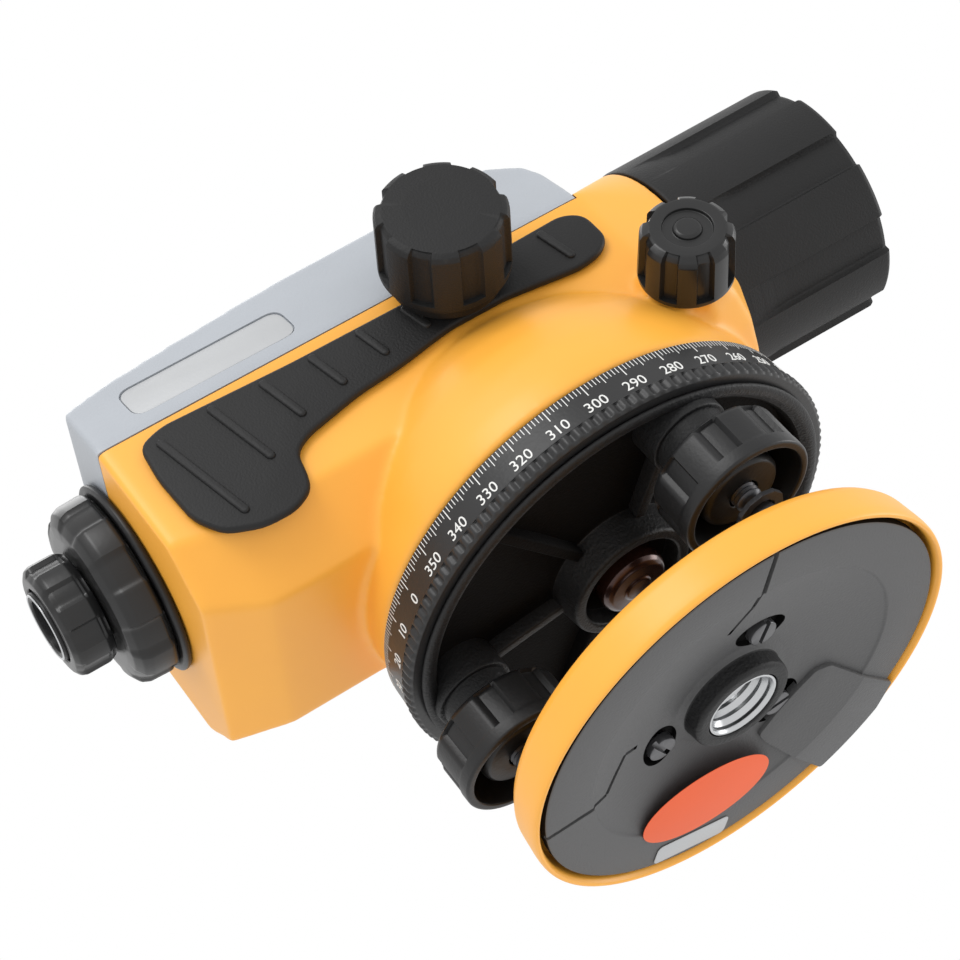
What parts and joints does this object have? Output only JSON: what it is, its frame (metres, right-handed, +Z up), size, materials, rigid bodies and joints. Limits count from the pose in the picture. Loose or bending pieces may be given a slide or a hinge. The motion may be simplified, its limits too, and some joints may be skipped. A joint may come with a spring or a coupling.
{
  "type": "automatic level",
  "caption": "Surveying automatic level: self-levelling telescope in a housing that turns on a tribrach with foot screws, graduated circle, focus and tangent knobs and a threaded base.",
  "frame": {"origin": "centre of the base ring's seat plane, on the vertical axis", "axes": "+Z up along the vertical axis, +X towards the objective, +Y the left side seen from the eyepiece"},
  "size_m": [0.2058, 0.112, 0.1395],
  "materials": {
    "yellow_shell": "satin orange-yellow paint",
    "black_plastic": "satin moulded",
    "steel": "turned",
    "orange_label": "printed film",
    "silver_label": "blank satin plate",
    "black_casting": "fine textured black",
    "brass": "turned",
    "circle_black": "satin black with white graduation",
    "grey_cover": "satin blue-grey paint",
    "rubber": "matte moulded rubber",
    "optical_glass": "coated",
    "gloss_black": "semi-gloss moulded"
  },
  "bodies": {
    "base": {"base_ring": "yellow_shell", "base_cover": "black_plastic", "tripod_thread_insert": "steel", "base_screw_1": "steel", "base_screw_2": "steel", "base_screw_3": "steel", "caution_disc": "orange_label", "serial_plate": "silver_label"},
    "spring_plate_body": {"spring_plate": "steel"},
    "tribrach": {"tribrach_body": "black_casting", "foot_bush_1": "brass", "foot_bush_2": "brass", "foot_bush_3": "brass"},
    "foot_spindle_1_body": {"foot_spindle_1": "steel"},
    "foot_spindle_2_body": {"foot_spindle_2": "steel"},
    "foot_spindle_3_body": {"foot_spindle_3": "steel"},
    "foot_knob_1_body": {"foot_knob_1": "black_plastic"},
    "foot_knob_2_body": {"foot_knob_2": "black_plastic"},
    "foot_knob_3_body": {"foot_knob_3": "black_plastic"},
    "circle": {"horizontal_circle": "circle_black"},
    "wheel": {"worm_wheel": "brass"},
    "housing": {"main_housing": "yellow_shell", "top_cover": "grey_cover", "side_grip_right": "rubber", "side_grip_left": "rubber", "label_plate": "silver_label", "vertical_spindle": "steel", "telescope_tube": "black_casting", "objective_barrel": "black_casting", "objective_hood": "rubber", "objective_lens_front": "optical_glass", "objective_lens_rear": "optical_glass", "objective_lens_ring": "black_casting", "focus_collar": "black_plastic", "eyepiece_flange": "black_plastic", "eyepiece_ring": "gloss_black", "reticle_cell": "brass", "reticle": "optical_glass", "compensator_yoke": "brass", "prism_front": "optical_glass", "prism_rear": "optical_glass", "level_cup": "black_plastic", "level_vial": "optical_glass", "level_window": "optical_glass"},
    "focus_knob_body": {"focus_knob": "rubber", "focus_pinion": "brass"},
    "carriage": {"focus_carriage": "brass", "focus_rack": "steel", "focusing_lens": "optical_glass"},
    "tangent": {"tangent_worm": "steel", "tangent_knob_right": "gloss_black", "tangent_knob_left": "gloss_black"},
    "diopter": {"diopter_ring": "gloss_black"},
    "ocular": {"ocular_barrel": "steel", "eye_lens": "optical_glass"},
    "pendulum": {"pendulum_frame": "steel", "pendulum_prism": "optical_glass"}
  },
  "joints": [
    {"name": "tilt_across", "type": "hinge", "parent": "base", "child": "spring_plate_body", "pos_m": [-0.00701, 0.01926, 0.0142], "axis": [0.342, -0.9397, 0], "range_deg": [-0.9, 0.9]},
    {"name": "tilt_along", "type": "hinge", "parent": "spring_plate_body", "child": "tribrach", "pos_m": [-0.00701, 0.01926, 0.0142], "axis": [-0.9397, -0.342, 0], "range_deg": [-0.9, 0.9]},
    {"name": "foot_screw_1_travel", "type": "slide", "parent": "tribrach", "child": "foot_spindle_1_body", "axis": [0, 0, -1], "range_m": [-0.00101, 0.00101]},
    {"name": "foot_screw_1_turn", "type": "hinge", "parent": "foot_spindle_1_body", "child": "foot_knob_1_body", "pos_m": [0.01402, -0.03853, 0.026], "axis": [0, 0, 1], "range_deg": [-464, 464]},
    {"name": "foot_screw_2_travel", "type": "slide", "parent": "tribrach", "child": "foot_spindle_2_body", "axis": [0, 0, -1], "range_m": [-0.00058, 0.00058]},
    {"name": "foot_screw_2_turn", "type": "hinge", "parent": "foot_spindle_2_body", "child": "foot_knob_2_body", "pos_m": [0.02635, 0.03141, 0.026], "axis": [0, 0, 1], "range_deg": [-268, 268]},
    {"name": "foot_screw_3_travel", "type": "slide", "parent": "tribrach", "child": "foot_spindle_3_body", "axis": [0, 0, -1], "range_m": [-0.00058, 0.00058]},
    {"name": "foot_screw_3_turn", "type": "hinge", "parent": "foot_spindle_3_body", "child": "foot_knob_3_body", "pos_m": [-0.04038, 0.00712, 0.026], "axis": [0, 0, 1], "range_deg": [-288, 288]},
    {"name": "circle_turn", "type": "hinge", "parent": "tribrach", "child": "circle", "pos_m": [0, 0, 0.048], "axis": [0, 0, 1], "continuous": true},
    {"name": "coarse_azimuth", "type": "hinge", "parent": "tribrach", "child": "wheel", "pos_m": [0, 0, 0.06], "axis": [0, 0, 1], "continuous": true},
    {"name": "fine_azimuth", "type": "hinge", "parent": "wheel", "child": "housing", "pos_m": [0, 0, 0.073], "axis": [0, 0, 1], "continuous": true},
    {"name": "tangent_turn", "type": "hinge", "parent": "housing", "child": "tangent", "pos_m": [0.039, 0, 0.073], "axis": [0, 1, 0], "continuous": true},
    {"name": "focus_turn", "type": "hinge", "parent": "housing", "child": "focus_knob_body", "pos_m": [-0.001, -0.045, 0.104], "axis": [0, -1, 0], "range_deg": [-200, 200]},
    {"name": "focus_travel", "type": "slide", "parent": "housing", "child": "carriage", "axis": [1, 0, 0], "range_m": [-0.0087, 0.0087]},
    {"name": "diopter_turn", "type": "hinge", "parent": "housing", "child": "diopter", "pos_m": [-0.1, 0, 0.1013], "axis": [-1, 0, 0], "range_deg": [-182, 182]},
    {"name": "ocular_travel", "type": "slide", "parent": "housing", "child": "ocular", "axis": [-1, 0, 0], "range_m": [-0.001, 0.001]},
    {"name": "pendulum_swing", "type": "hinge", "parent": "housing", "child": "pendulum", "pos_m": [-0.045, 0, 0.1143], "axis": [0, 1, 0], "range_deg": [-1, 1]}
  ],
  "couplings": [
    {"joint": "foot_screw_1_travel", "follows": "tilt_along", "m_per_rad": 0.0615},
    {"joint": "foot_screw_1_turn", "follows": "tilt_along", "ratio": 515.22},
    {"joint": "foot_screw_2_travel", "follows": "tilt_across", "m_per_rad": 0.035507},
    {"joint": "foot_screw_2_turn", "follows": "tilt_across", "ratio": 297.46},
    {"joint": "foot_screw_3_travel", "follows": "tilt_across", "m_per_rad": -0.035507},
    {"joint": "foot_screw_3_turn", "follows": "tilt_across", "ratio": -297.46},
    {"joint": "tangent_turn", "follows": "fine_azimuth", "ratio": 180},
    {"joint": "focus_turn", "follows": "focus_travel", "rad_per_m": 400},
    {"joint": "diopter_turn", "follows": "ocular_travel", "rad_per_m": 3141.6}
  ]
}
